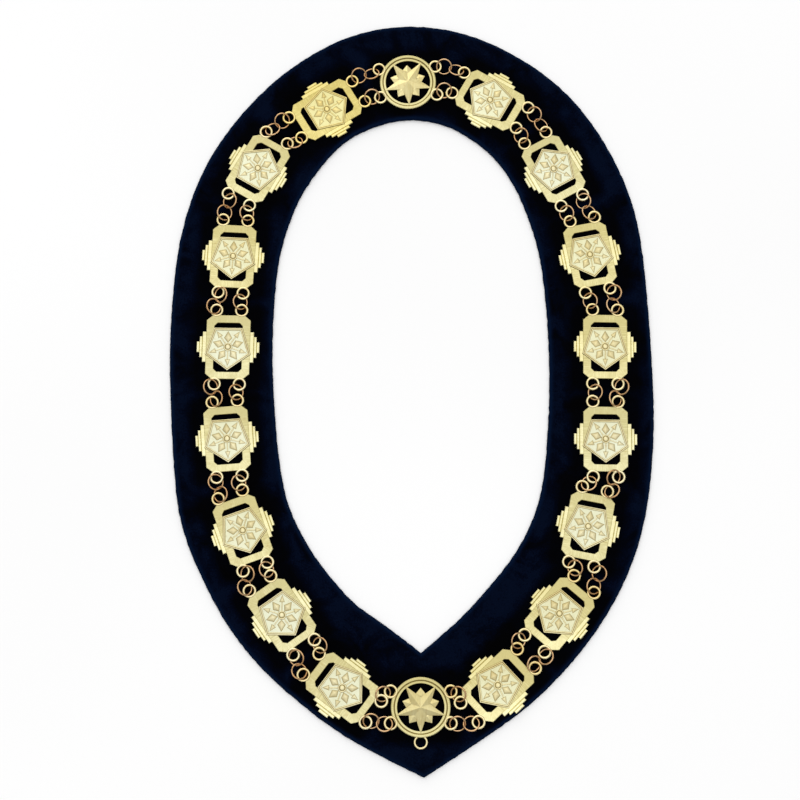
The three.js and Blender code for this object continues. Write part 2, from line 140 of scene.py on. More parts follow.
def giltMaterial(finish):
    values, surface = giltFinishes[finish], giltSurface
    material, nodes, links, shader = newMaterial("gilt_" + finish)
    place = nodes.new("ShaderNodeTexCoord")
    warmth, creaseShade, shade = [addNode(nodes, "ShaderNodeAttribute", attribute_name=label)
                             for label in ("warmth", "creaseShade", "shade")]
    cloudy = addNode(nodes, "ShaderNodeTexNoise", Scale=surface["cloudScale"], Detail=3.0)
    spots = addNode(nodes, "ShaderNodeTexNoise", Scale=surface["spotScale"], Detail=4.0)
    sand = addNode(nodes, "ShaderNodeTexNoise", Scale=surface["sandScale"], Detail=2.0)
    for texture in (cloudy, spots, sand):
        links.new(place.outputs["Object"], texture.inputs["Vector"])
    # Strokes run across the bar, since the grain map runs along it
    grain = nodes.new("ShaderNodeUVMap")
    grain.uv_map = "grain"
    stretch = addNode(nodes, "ShaderNodeMapping")
    stretch.inputs["Scale"].default_value = (1.0, surface["strokeStretch"], 1)
    strokes = addNode(nodes, "ShaderNodeTexNoise", Scale=1.0, Detail=3.0, Roughness=0.7)
    links.new(grain.outputs["UV"], stretch.inputs["Vector"])
    links.new(stretch.outputs["Vector"], strokes.inputs["Vector"])
    # Tone drifts with a cloudy noise, plus the painted shade on the side away from the chain's point
    drift = addNode(nodes, "ShaderNodeMath", operation="MULTIPLY_ADD")
    links.new(cloudy.outputs["Fac"], drift.inputs[0])
    drift.inputs[1].default_value = 1.1 - 0.5 * values["strokes"]
    links.new(shade.outputs["Fac"], drift.inputs[2])
    stroked = addNode(nodes, "ShaderNodeMath", operation="MULTIPLY_ADD")
    links.new(strokes.outputs["Fac"], stroked.inputs[0])
    stroked.inputs[1].default_value = values["strokes"]
    links.new(drift.outputs[0], stroked.inputs[2])
    low, high = surface["toneStops"]
    tone = ramp(nodes, links, stroked.outputs[0], [(low, values["pale"]), (high, values["deep"])])
    low, high = surface["tarnishStops"]
    tarnished = (surface["tarnishMost"],) * 3
    tarnish = ramp(nodes, links, spots.outputs["Fac"], [(low, (0, 0, 0)), (high, tarnished)])
    warmed = tinted(nodes, links, warmth.outputs["Fac"], tone, surface["warm"], "MULTIPLY")
    aged = tinted(nodes, links, tarnish, warmed, surface["tarnish"], "MULTIPLY")
    # Painted shade: creases, grooves, side walls and the feet of raised parts are darkened towards the crease
    # colour
    depth = addNode(nodes, "ShaderNodeMath", operation="POWER")
    links.new(creaseShade.outputs["Fac"], depth.inputs[0])
    depth.inputs[1].default_value = surface["reliefCreaseShadePower" if finish == "raised" else "creaseShadePower"]
    colour = tinted(nodes, links, depth.outputs[0], aged, surface["creaseShade"])
    links.new(colour, shader.inputs["Base Color"])
    shader.inputs["Metallic"].default_value = 1.0
    roughness = addNode(nodes, "ShaderNodeMapRange")
    links.new(strokes.outputs["Fac"], roughness.inputs["Value"])
    for label, change in zip(("To Min", "To Max"), surface["roughSpread"]):
        roughness.inputs[label].default_value = values["rough"] + change
    links.new(roughness.outputs["Result"], shader.inputs["Roughness"])
    strokeBump = bumped(nodes, links, strokes.outputs["Fac"], values["grain"], surface["strokeDepth"])
    sandBump = bumped(nodes, links, sand.outputs["Fac"], surface["sand"], surface["sandDepth"])
    links.new(strokeBump.outputs["Normal"], sandBump.inputs["Normal"])
    links.new(sandBump.outputs["Normal"], shader.inputs["Normal"])
    return material


gilt = {finish: giltMaterial(finish) for finish in giltFinishes}


# Velvet: almost black around the chain, where shade is painted in, with navy patches of nap towards the edges
# and a lighter blue painted sheen on the rounded edges
velvetColours = {"deep": (0.0010, 0.0009, 0.0010), "napInLight": (0.0009, 0.0020, 0.0073),
                 "lit": (0.0020, 0.0048, 0.0162), "rim": (0.0025, 0.0085, 0.030),
                 "sheenTint": (0.06, 0.20, 0.62), "sheen": 0.05,
                 "patchScale": 42.0, "patchShares": (0.15, 1.3), "pileScale": 900.0, "pileShares": (0.5, 1.5),
                 "noiseRange": (0.36, 0.64), "bump": 0.7, "bumpDepth": 0.0005}


def velvetMaterial(values):
    material, nodes, links, shader = newMaterial("navy_velvet")
    place = nodes.new("ShaderNodeTexCoord")
    rim, outOfShade = [addNode(nodes, "ShaderNodeAttribute", attribute_name=label) for label in ("rim", "napInLight")]
    patches = addNode(nodes, "ShaderNodeTexNoise", Scale=values["patchScale"], Detail=6.0, Roughness=0.62,
                      Distortion=0.6)
    pile = addNode(nodes, "ShaderNodeTexNoise", Scale=values["pileScale"], Detail=4.0, Roughness=0.8)
    for texture in (patches, pile):
        links.new(place.outputs["Object"], texture.inputs["Vector"])
    shares = []
    least, most = values["noiseRange"]
    for texture, (low, high) in ((patches, values["patchShares"]), (pile, values["pileShares"])):
        spread = addNode(nodes, "ShaderNodeMapRange")
        links.new(texture.outputs["Fac"], spread.inputs["Value"])
        for label, value in (("From Min", least), ("From Max", most), ("To Min", low), ("To Max", high)):
            spread.inputs[label].default_value = value
        shares.append(spread.outputs["Result"])
    # The velvet is painted darker towards the metal, as shade falls there, and mottled by noise further out
    napInLight = outOfShade.outputs["Fac"]
    for share in shares:
        product = addNode(nodes, "ShaderNodeMath", operation="MULTIPLY")
        links.new(napInLight, product.inputs[0])
        links.new(share, product.inputs[1])
        napInLight = product.outputs[0]
    base = ramp(nodes, links, napInLight, [(0.0, values["deep"]), (0.5, values["napInLight"]), (1.0, values["lit"])])
    # A lighter blue painted sheen on the rounded edges
    colour = tinted(nodes, links, rim.outputs["Fac"], base, values["rim"])
    links.new(colour, shader.inputs["Base Color"])
    shader.inputs["Roughness"].default_value = 1.0
    shader.inputs["Specular IOR Level"].default_value = 0.01
    shader.inputs["Sheen Weight"].default_value = values["sheen"]
    shader.inputs["Sheen Roughness"].default_value = 0.4
    shader.inputs["Sheen Tint"].default_value = (*values["sheenTint"], 1)
    bump = bumped(nodes, links, pile.outputs["Fac"], values["bump"], values["bumpDepth"])
    links.new(bump.outputs["Normal"], shader.inputs["Normal"])
    return material


# The underside is plain dark cloth with a fine square weave
backingLooks = {"dark": (0.003, 0.004, 0.008), "pale": (0.009, 0.011, 0.02), "threadScale": 420.0,
                "bump": 0.4, "bumpDepth": 0.0003}


def backingMaterial(values):
    material, nodes, links, shader = newMaterial("plain_backing")
    place = nodes.new("ShaderNodeTexCoord")
    threads = []
    for axis in ("X", "Y"):
        wave = addNode(nodes, "ShaderNodeTexWave", bands_direction=axis, Scale=values["threadScale"],
                       Distortion=0.4)
        links.new(place.outputs["Object"], wave.inputs["Vector"])
        threads.append(wave)
    weave = addNode(nodes, "ShaderNodeMath", operation="MULTIPLY")
    links.new(threads[0].outputs["Fac"], weave.inputs[0])
    links.new(threads[1].outputs["Fac"], weave.inputs[1])
    colour = ramp(nodes, links, weave.outputs[0], [(0.0, values["dark"]), (1.0, values["pale"])])
    links.new(colour, shader.inputs["Base Color"])
    shader.inputs["Roughness"].default_value = 0.9
    bump = bumped(nodes, links, weave.outputs[0], values["bump"], values["bumpDepth"])
    links.new(bump.outputs["Normal"], shader.inputs["Normal"])
    return material


velvet = velvetMaterial(velvetColours)
backing = backingMaterial(backingLooks)
print("materials made")


# A body gathers corners and faces in millimetres, with a material and a grain direction for each face
class Body:
    def __init__(self, materials):
        self.materials = materials
        self.corners, self.faces, self.slots, self.grains, self.smooth = [], [], [], [], []
        # Each corner's share of painted shade, for creases and the feet of raised parts
        self.creases = []

    def add(self, corners, faces, finish, grain=(1, 0), smooth=False, creases=None):
        start = len(self.corners)
        self.corners.extend(corners)
        self.creases.extend(creases or [0.0] * len(corners))
        for index, face in enumerate(faces):
            self.faces.append([start + corner for corner in face])
            self.slots.append(self.materials.index(finish))
            self.grains.append(grain[index] if isinstance(grain, list) else grain)
            self.smooth.append(smooth)

    def piece(self, name, place, warmth, shadeContrast=giltSurface["shadeContrast"]):
        mesh = bpy.data.meshes.new(name)
        mesh.from_pydata([place @ (Vector(corner) * mm) for corner in self.corners], [], self.faces)
        for finish in self.materials:
            mesh.materials.append(gilt[finish])
        mesh.polygons.foreach_set("material_index", self.slots)
        mesh.polygons.foreach_set("use_smooth", self.smooth)
        grainMap = mesh.uv_layers.new(name="grain")
        for polygon, (along, across) in zip(mesh.polygons, self.grains):
            for loop in polygon.loop_indices:
                corner = self.corners[mesh.loops[loop].vertex_index]
                grainMap.data[loop].uv = (corner[0] * along + corner[1] * across,
                                          corner[1] * along - corner[0] * across)
        # The side of a plate away from the chain's point is painted a little darker, as shade falls there
        away = [(place.to_3x3() @ Vector(corner)).y / giltSurface["shadeReach"] for corner in self.corners]
        shade = [giltSurface["shadeBase"] + shadeContrast * max(-1.0, min(1.0, share)) for share in away]
        for label, shares in (("warmth", [warmth] * len(away)), ("creaseShade", self.creases), ("shade", shade)):
            mesh.attributes.new(label, "FLOAT", "POINT").data.foreach_set("value", shares)
        mesh.validate()
        return newObject(name, mesh)


def tubeFaces(loops, around, closed):
    faces = []
    for loop in range(loops if closed else loops - 1):
        after = (loop + 1) % loops
        for step in range(around):
            beside = (step + 1) % around
            faces.append([loop * around + step, loop * around + beside,
                          after * around + beside, after * around + step])
    return faces


def polygonRing(sides, radius, firstAngle):
    angles = [firstAngle + side / sides * math.tau for side in range(sides)]
    return [(radius * math.cos(angle), radius * math.sin(angle)) for angle in angles]


# Moves each side of a convex anticlockwise outline inwards
def inset(outline, distance):
    count = len(outline)
    moved = []
    for index in range(count):
        (ax, ay), (bx, by), (cx, cy) = outline[index - 1], outline[index], outline[(index + 1) % count]
        first = Vector((bx - ax, by - ay)).normalized()
        second = Vector((cx - bx, cy - by)).normalized()
        bisector = Vector((-first.y - second.y, first.x + second.x))
        bisector.normalize()
        reach = distance / bisector.dot(Vector((-second.y, second.x)))
        moved.append((bx + bisector.x * reach, by + bisector.y * reach))
    return moved


# Closed ring through outlines of (points, level), in order round its section, with grain along each side
def addRing(body, outlines, finish, creases):
    points = outlines[0][0]
    around = len(points)
    corners = [(x, y, level) for outline, level in outlines for x, y in outline]
    faces = tubeFaces(len(outlines), around, True)
    grain = []
    for face in range(len(faces)):
        side = face % around
        (ax, ay), (bx, by) = points[side], points[(side + 1) % around]
        length = math.hypot(bx - ax, by - ay)
        grain.append(((bx - ax) / length, (by - ay) / length))
    body.add(corners, faces, finish, grain, False, spread(creases, outlines))


# One share of painted crease shade for each outline becomes one for each corner
def spread(creases, outlines):
    return [share for share in creases for corner in outlines[0][0]] if creases else None


# Closed block through outlines of (points, level), lowest first, flat at both ends
def addStack(body, outlines, finish, smooth=False, grain=(1, 0), creases=None):
    around = len(outlines[0][0])
    corners = [(x, y, level) for points, level in outlines for x, y in points]
    faces = tubeFaces(len(outlines), around, False)
    faces.append(list(reversed(range(around))))
    faces.append([len(corners) - around + step for step in range(around)])
    body.add(corners, faces, finish, grain, smooth, spread(creases, outlines))


# Closed block with upright edges and flat facets that rise from them to one peak
def addFacets(body, outline, peak, floor, edge, finish, creaseShade=0.0):
    around = len(outline)
    corners = [(x, y, floor) for x, y in outline] + [(x, y, edge) for x, y in outline] + [peak]
    faces = tubeFaces(2, around, False)
    faces.append(list(reversed(range(around))))
    faces.extend([[around + step, around + (step + 1) % around, 2 * around] for step in range(around)])
    # The feet are wholly in painted shade, the edges by the given share, the peak not at all
    body.add(corners, faces, finish, creases=[1.0] * around + [creaseShade] * around + [0.0])


# Round wire loop lying flat
def addLoop(body, middle, radius, wire, level, finish, around=40, section=12):
    corners = []
    for step in range(around):
        angle = step / around * math.tau
        for turn in range(section):
            tilt = turn / section * math.tau
            reach = radius + wire * math.cos(tilt)
            corners.append((middle[0] + reach * math.cos(angle), middle[1] + reach * math.sin(angle),
                            level + wire * math.sin(tilt)))
    faces = [list(reversed(face)) for face in tubeFaces(around, section, True)]
    body.add(corners, faces, finish, smooth=True)


def turned(points, angle):
    c, s = math.cos(angle), math.sin(angle)
    return [(x * c - y * s, x * s + y * c) for x, y in points]


# Plates: a brushed octagonal frame with stepped wings, a raised pentagon and four round eyes. The pentagon
# has a double rim, a satin ground, five petals, five small pyramids and a boss. Sizes are in millimetres:
# wings are (reach, height, level), the rim's steps (in from the edge, down from the top, share of painted
# crease shade) and the boss's (share of its radius, share of its rise, share of painted crease shade)
plateSizes = {"width": 31.0, "height": 45.7, "thickness": 2.0, "cornerAcross": 4.4, "cornerAlong": 3.7,
              "topBar": 5.6, "bottomBar": 5.2, "opening": 19.6, "openingCorner": 2.2, "bevel": 0.28,
              "softEdge": 0.09, "softEdgeDegrees": 28,
              "wings": [(2.6, 22.1, 1.95), (4.6, 15.2, 1.8), (6.6, 7.9, 1.65)],
              "wingRoot": 0.4, "wingOverlap": 0.08, "wingChamfer": (0.38, 0.5),
              "pentagon": 17.0, "pentagonTop": 2.8, "ground": 2.3, "rimFoot": 0.4,
              "rim": [(0.3, 0.1, 0.8), (0.4, 0, 0), (0.95, 0, 0), (1.15, 0.3, 1), (1.35, 0.3, 1),
                      (1.55, 0, 0), (2.2, 0, 0), (2.5, 0.5, 1)],
              "groundIn": (2.45, 3.0), "groundUp": (-0.2, 0.02, 0.03), "sunk": 0.1,
              "petalIn": 3.0, "petalWide": 6.4, "petalOut": 11.3, "petalHalf": 2.9, "petalRise": 0.62,
              "petalEdge": 0.06, "pyramidIn": 8.8, "pyramidOut": 13.9, "pyramidHalf": 1.9,
              "pyramidRise": 0.35, "pyramidPeak": 1.5, "pyramidEdge": 0.05,
              "ribIn": 2.4, "ribHalf": 0.42, "ribRise": 0.22, "ribEdge": 0.05, "ribChamfer": 0.2,
              "bossRadius": 3.1, "bossRise": 0.7,
              "boss": [(1.0, 0.25, 1), (0.9, 0.55, 0), (0.76, 0.55, 0), (0.68, 0.25, 1), (0.58, 0.25, 1),
                       (0.5, 0.7, 0.2), (0.3, 0.92, 0), (0.1, 1, 0)],
              "eyeAcross": 8.8, "eyeReach": 26.4, "eyeRadius": 4.0, "eyeWire": 0.88, "eyeLevel": 1.5,
              "warmth": {"plate_left_1": 1.0, "plate_left_2": 0.1, "plate_left_3": 0.3,
                         "plate_right_1": 0.25, "plate_right_3": 0.35, "plate_right_4": 0.3,
                         "plate_right_7": 0.3, "plate_right_8": 0.35},
              "warmthStep": 0.08, "shadeContrast": {"plate_right_7": 0.3, "plate_right_8": 0.42}}


def frameOutlines(sizes):
    x, y = sizes["width"] / 2, sizes["height"] / 2
    across, along = sizes["cornerAcross"], sizes["cornerAlong"]
    outer = [(x - across, -y), (x, -y + along), (x, y - along), (x - across, y),
             (-x + across, y), (-x, y - along), (-x, -y + along), (-x + across, -y)]
    right, cut = sizes["opening"] / 2, sizes["openingCorner"]
    top, bottom = y - sizes["topBar"], -y + sizes["bottomBar"]
    inner = [(right - cut, bottom), (right, bottom + cut), (right, top - cut), (right - cut, top),
             (-right + cut, top), (-right, top - cut), (-right, bottom + cut), (-right + cut, bottom)]
    return outer, inner


def plateBody(sizes):
    body = Body(["frame", "slat", "ground", "raised", "eye"])
    outer, inner = frameOutlines(sizes)
    bevel, top = sizes["bevel"], sizes["thickness"]
    addRing(body, [(outer, 0), (outer, top - bevel), (inset(outer, bevel), top),
                   (inset(inner, -bevel), top), (inner, top - bevel), (inner, 0)], "frame",
            [1, 0.8, 0, 0, 0.8, 1])
    chamferIn, chamferDown = sizes["wingChamfer"]
    for side in (-1, 1):
        near = sizes["width"] / 2 - sizes["wingRoot"]
        for reach, height, level in sizes["wings"]:
            far = sizes["width"] / 2 + reach
            slat = [(near, -height / 2), (far, -height / 2), (far, height / 2), (near, height / 2)]
            if side < 0:
                slat = [(-x, y) for x, y in reversed(slat)]
            addStack(body, [(slat, 0), (slat, level - chamferDown), (inset(slat, chamferIn), level)], "slat",
                     grain=(0, 1), creases=[1, 0.8, 0])
            near = far - sizes["wingOverlap"]
    addPentagon(body, sizes)
    for x in (-sizes["eyeAcross"], sizes["eyeAcross"]):
        for y in (-sizes["eyeReach"], sizes["eyeReach"]):
            addLoop(body, (x, y), sizes["eyeRadius"], sizes["eyeWire"], sizes["eyeLevel"], "eye")
    return body


def addPentagon(body, sizes):
    down = -math.pi / 2
    radius, top, ground = sizes["pentagon"], sizes["pentagonTop"], sizes["ground"]
    sunk = ground - sizes["sunk"]
    rim = [(0.0, sizes["rimFoot"], 1), (0.0, sizes["thickness"], 1)]
    rim += [(step, top - drop, creaseShade) for step, drop, creaseShade in sizes["rim"]]
    addStack(body, [(polygonRing(5, radius - step, down), level) for step, level, creaseShade in rim], "raised",
             creases=[creaseShade for step, level, creaseShade in rim])
    floor, inner = [polygonRing(5, radius - step, down) for step in sizes["groundIn"]]
    foot, edge, middle = [ground + up for up in sizes["groundUp"]]
    addStack(body, [(floor, foot), (floor, edge), (inner, middle)], "ground", creases=[1, 0.8, 0])
    for index in range(5):
        toSide = down + (index + 0.5) / 5 * math.tau
        toCorner = down + index / 5 * math.tau
        wide, half = sizes["petalWide"], sizes["petalHalf"]
        petal = [(sizes["petalIn"], 0), (wide, -half), (sizes["petalOut"], 0), (wide, half)]
        peak = turned([(wide, 0)], toSide)[0]
        addFacets(body, turned(petal, toSide), (*peak, ground + sizes["petalRise"]),
                  sunk, ground + sizes["petalEdge"], "raised", 1.0)
        near, far, half = sizes["ribIn"], sizes["pyramidIn"], sizes["ribHalf"]
        rib = [(near, -half), (far, -half), (far, half), (near, half)]
        addStack(body, [(turned(rib, toCorner), sunk), (turned(rib, toCorner), ground + sizes["ribEdge"]),
                        (turned(inset(rib, sizes["ribChamfer"]), toCorner), ground + sizes["ribRise"])],
                 "raised", creases=[1, 1, 0.2])
        half = sizes["pyramidHalf"]
        pyramid = [(far, -half), (sizes["pyramidOut"], 0), (far, half)]
        peak = turned([(far + sizes["pyramidPeak"], 0)], toCorner)[0]
        addFacets(body, turned(pyramid, toCorner), (*peak, ground + sizes["pyramidRise"]),
                  sunk, ground + sizes["pyramidEdge"], "raised", 1.0)
    reach, rise = sizes["bossRadius"], sizes["bossRise"]
    boss = [(1.0, -sizes["sunk"], 1)] + [(share, up * rise, creaseShade) for share, up, creaseShade in sizes["boss"]]
    addStack(body, [(polygonRing(24, share * reach, 0), ground + up) for share, up, creaseShade in boss], "raised",
             smooth=True, creases=[creaseShade for share, up, creaseShade in boss])


# Medallions: two round tiers with a groove between, a faceted star, five lesser rays and four eyes. The
# section is (radius, level, share of painted crease shade), with radius and level in millimetres, from its
# inner foot up and over to its outer one
medallionSizes = {"starTips": 17.7, "starValleys": 6.8, "starPeak": 3.9, "starFloor": 0.5, "starEdge": 1.9,
                  "rayPeak": 2.3, "rayEdge": 1.2, "rayMiddle": 7.6, "eyeReach": 22.9, "eyeAngle": 27.5,
                  "lesserRay": [(5.2, -3.1), (9.3, -3.2), (13.1, 0), (9.3, 3.2), (5.2, 3.1)],
                  "around": 96, "warmth": 0.3,
                  "loopReach": 23.2, "loopRadius": 4.1, "loopWire": 0.8, "loopLevel": 1.0,
                  "section": [(15.9, 0, 1), (15.9, 1.3, 0.8), (16.1, 1.6, 0), (17.4, 1.6, 0),
                              (17.6, 1.45, 0.5), (17.7, 1.1, 1), (18.0, 1.1, 1), (18.15, 1.8, 0.4),
                              (18.4, 2.1, 0),
                              (19.7, 2.05, 0), (20.15, 1.85, 0.1), (20.3, 1.5, 0.6), (20.3, 0, 1)]}


def medallionBody(sizes, hasJewelLoop):
    body = Body(["frame", "star", "eye"])
    section = sizes["section"][::-1]
    rings = [(polygonRing(sizes["around"], radius, 0), level) for radius, level, creaseShade in section]
    addRing(body, rings, "frame", [creaseShade for radius, level, creaseShade in section])
    down = -math.pi / 2
    for ray in range(5):
        angle = down + (ray + 0.5) / 5 * math.tau
        peak = turned([(sizes["rayMiddle"], 0)], angle)[0]
        addFacets(body, turned(sizes["lesserRay"], angle), (*peak, sizes["rayPeak"]), sizes["starFloor"],
                  sizes["rayEdge"], "star", 0.5)
    star = []
    for point in range(10):
        reach = sizes["starTips"] if point % 2 == 0 else sizes["starValleys"]
        star.extend(turned([(reach, 0)], down + point / 10 * math.tau))
    addFacets(body, star, (0, 0, sizes["starPeak"]), sizes["starFloor"], sizes["starEdge"], "star", 0.6)
    angle = math.radians(sizes["eyeAngle"])
    x, y = sizes["eyeReach"] * math.cos(angle), sizes["eyeReach"] * math.sin(angle)
    for eye in ((x, y), (-x, y), (x, -y), (-x, -y)):
        addLoop(body, eye, plateSizes["eyeRadius"], plateSizes["eyeWire"], plateSizes["eyeLevel"], "eye")
    if hasJewelLoop:
        addLoop(body, (0, -sizes["loopReach"]), sizes["loopRadius"], sizes["loopWire"],
                sizes["loopLevel"], "eye")
    return body


# Where each metal piece lies is read from the frame's own solids
def cornersOf(node):
    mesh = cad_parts[node].data
    flat = np.empty(len(mesh.vertices) * 3)
    mesh.vertices.foreach_get("co", flat)
    return np.unique(np.round(flat.reshape(-1, 3), 7), axis=0)


def platePlace(node):
    corners = cornersOf(node)
    rim = corners[corners[:, 2] > corners[:, 2].max() - 0.01 * mm]
    middle = rim[:, :2].mean(axis=0)
    spokes = rim[:, :2] - middle
    # A regular pentagon gives the turn to within a fifth of a circle, and the long axis gives the rest
    fifth = np.angle(np.exp(5j * np.arctan2(spokes[:, 1], spokes[:, 0])).sum()) / 5
    offsets = corners[:, :2] - middle
    vectors = np.linalg.eigh(offsets.T @ offsets)[1]
    axis = math.atan2(vectors[1, 1], vectors[0, 1])
    point = min((fifth + index / 5 * math.tau for index in range(5)),
                key=lambda angle: abs(math.sin(angle - axis)))
    return placeAt(middle, point + math.pi / 2, corners[:, 2].min())


def medallionPlace(node):
    corners = cornersOf(node)
    middle = corners[corners[:, 2].argmax(), :2]
    offsets = corners[:, :2] - middle
    reach = np.hypot(offsets[:, 0], offsets[:, 1])
    eyes = offsets[(reach > 25 * mm) & (np.abs(offsets[:, 0]) > 15 * mm)]
    turn = np.angle(np.exp(2j * np.arctan2(eyes[:, 1], eyes[:, 0])).sum()) / 2
    return placeAt(middle, turn, corners[:, 2].min())


def placeAt(middle, turn, level):
    return Matrix.Translation((middle[0], middle[1], level)) @ Matrix.Rotation(turn, 4, "Z")


def finishMetal(piece, node):
    bevel = piece.modifiers.new("soft edges", "BEVEL")
    bevel.width = plateSizes["softEdge"] * mm
    bevel.segments = 2
    bevel.limit_method = "ANGLE"
    bevel.angle_limit = math.radians(plateSizes["softEdgeDegrees"])
    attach(piece, "root")
    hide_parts(node)


plate = plateBody(plateSizes)
plateNodes = [node for node in sorted(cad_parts) if node.startswith("plate_")]
platePlaces = {node: platePlace(node) for node in plateNodes}
for order, node in enumerate(plateNodes):
    warmth = plateSizes["warmth"].get(node, plateSizes["warmthStep"] * (order % 3))
    # Some plates get a stronger painted shade on their far side
    shadeContrast = plateSizes["shadeContrast"].get(node, giltSurface["shadeContrast"])
    finishMetal(plate.piece("struck_" + node, platePlaces[node], warmth, shadeContrast), node)
print("plates made:", len(plateNodes))

medallionPlaces = {node: medallionPlace(node) for node in ("medallion_back", "medallion_front")}
for node, place in medallionPlaces.items():
    body = medallionBody(medallionSizes, node == "medallion_front")
    finishMetal(body.piece("struck_" + node, place, medallionSizes["warmth"]), node)
print("medallions made")


# Jump rings: each ring's middle and plane are found in its solid, and round wire is swept there
ringSizes = {"Ring Radius": 5.3 * mm, "Wire Radius": 0.57 * mm, "Sweep Degrees": 357.4, "Seed": 4,
             "steps": 44, "sides": 10, "jointClear": 1.2 * mm}


def ringThrough(corners):
    middle = corners.mean(axis=0)
    vectors = np.linalg.svd(corners - middle)[2]
    flat = (corners - middle) @ vectors[:2].T
    # Least squares circle through the corners in their own plane
    table = np.column_stack([2 * flat, np.ones(len(flat))])
    solved = np.linalg.lstsq(table, (flat ** 2).sum(axis=1), rcond=None)[0]
    centre = middle + solved[0] * vectors[0] + solved[1] * vectors[1]
    normal = vectors[2] if vectors[2][2] > 0 else -vectors[2]
    return centre, normal


def ringsOf(node):
    corners = cornersOf(node)
    if node.startswith("inner"):
        return [ringThrough(corners)]
    middle = corners.mean(axis=0)
    along = (corners - middle) @ np.linalg.svd(corners - middle)[2][0]
    # The corners near the joint belong to both rings, so neither uses them
    clear = ringSizes["jointClear"]
    return [ringThrough(corners[along < -clear]), ringThrough(corners[along > clear])]


def geometryTree(name, inputs):
    tree = bpy.data.node_groups.new(name, "GeometryNodeTree")
    tree.interface.new_socket("Geometry", in_out="INPUT", socket_type="NodeSocketGeometry")
    for label, kind in inputs:
        tree.interface.new_socket(label, in_out="INPUT", socket_type=kind)
    tree.interface.new_socket("Geometry", in_out="OUTPUT", socket_type="NodeSocketGeometry")
    return tree, tree.nodes.new("NodeGroupInput"), tree.nodes.new("NodeGroupOutput")


# Instances on points, each set facing its way and then turned by three angles of its own
def turnedInstances(tree, points, instance, facing, angles):
    nodes, links = tree.nodes, tree.links
    asTurn = nodes.new("FunctionNodeEulerToRotation")
    links.new(angles, asTurn.inputs[0])
    rotate = nodes.new("FunctionNodeRotateRotation")
    rotate.rotation_space = "LOCAL"
    links.new(facing, rotate.inputs[0])
    links.new(asTurn.outputs[0], rotate.inputs[1])
    place = nodes.new("GeometryNodeInstanceOnPoints")
    links.new(points, place.inputs["Points"])
    links.new(instance, place.inputs["Instance"])
    links.new(rotate.outputs[0], place.inputs["Rotation"])
    return place


def jumpRingTree(values):
    tree, given, result = geometryTree("sweepJumpRings", [
        ("Ring Radius", "NodeSocketFloat"), ("Wire Radius", "NodeSocketFloat"),
        ("Sweep Degrees", "NodeSocketFloat"), ("Seed", "NodeSocketInt"), ("Material", "NodeSocketMaterial")])
    nodes, links = tree.nodes, tree.links
    sweep = addNode(nodes, "ShaderNodeMath", operation="RADIANS")
    links.new(given.outputs["Sweep Degrees"], sweep.inputs[0])
    arc = nodes.new("GeometryNodeCurveArc")
    arc.inputs["Resolution"].default_value = values["steps"]
    links.new(given.outputs["Ring Radius"], arc.inputs["Radius"])
    links.new(sweep.outputs[0], arc.inputs["Sweep Angle"])
    section = nodes.new("GeometryNodeCurvePrimitiveCircle")
    section.inputs["Resolution"].default_value = values["sides"]
    links.new(given.outputs["Wire Radius"], section.inputs["Radius"])
    wire = nodes.new("GeometryNodeCurveToMesh")
    wire.inputs["Fill Caps"].default_value = True
    links.new(arc.outputs["Curve"], wire.inputs["Curve"])
    links.new(section.outputs["Curve"], wire.inputs["Profile Curve"])
    facing = nodes.new("GeometryNodeInputNamedAttribute")
    facing.data_type = "FLOAT_VECTOR"
    facing.inputs["Name"].default_value = "facing"
    align = nodes.new("FunctionNodeAlignRotationToVector")
    align.axis = "Z"
    links.new(facing.outputs["Attribute"], align.inputs["Vector"])
    spin = nodes.new("FunctionNodeRandomValue")
    spin.inputs[3].default_value = math.tau
    links.new(given.outputs["Seed"], spin.inputs["Seed"])
    about = nodes.new("ShaderNodeCombineXYZ")
    links.new(spin.outputs[1], about.inputs["Z"])
    place = turnedInstances(tree, given.outputs["Geometry"], wire.outputs["Mesh"], align.outputs[0],
                            about.outputs[0])
    finishTree(tree, place.outputs["Instances"], given, result, True)
    return tree


def finishTree(tree, instances, given, result, smooth):
    nodes, links = tree.nodes, tree.links
    realize = nodes.new("GeometryNodeRealizeInstances")
    links.new(instances, realize.inputs["Geometry"])
    shade = nodes.new("GeometryNodeSetShadeSmooth")
    shade.inputs["Shade Smooth"].default_value = smooth
    links.new(realize.outputs["Geometry"], shade.inputs["Geometry"])
    paint = nodes.new("GeometryNodeSetMaterial")
    links.new(shade.outputs["Geometry"], paint.inputs["Geometry"])
    links.new(given.outputs["Material"], paint.inputs["Material"])
    links.new(paint.outputs["Geometry"], result.inputs["Geometry"])


# Runs a tree on an object, and keeps only the plain mesh that it makes
def realized(source, tree, values, name):
    modifier = source.modifiers.new(tree.name, "NODES")
    modifier.node_group = tree
    for item in tree.interface.items_tree:
        if item.in_out == "INPUT" and item.name in values:
            modifier[item.identifier] = values[item.name]
    mesh = bpy.data.meshes.new_from_object(source.evaluated_get(bpy.context.evaluated_depsgraph_get()))
    source.modifiers.remove(modifier)
    mesh.name = name
    return newObject(name, mesh)


ringTree = jumpRingTree(ringSizes)
allRings = []
for row in ("outer_rings", "inner_ring"):
    rowNodes = [node for node in sorted(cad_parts) if node.startswith(row)]
    rings = [ring for node in rowNodes for ring in ringsOf(node)]
    allRings.extend(rings)
    seats = bpy.data.meshes.new(row + "_seats")
    seats.from_pydata([centre for centre, normal in rings], [], [])
    facing = seats.attributes.new("facing", "FLOAT_VECTOR", "POINT")
    facing.data.foreach_set("vector", np.array([normal for centre, normal in rings]).ravel())
    seatObject = newObject(row + "_seats", seats)
    piece = realized(seatObject, ringTree, {**ringSizes, "Material": gilt["jumpRing"]}, "wire_" + row)
    bpy.data.objects.remove(seatObject)
    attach(piece, "root")
    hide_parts(*rowNodes)
print("jump rings made:", len(allRings))


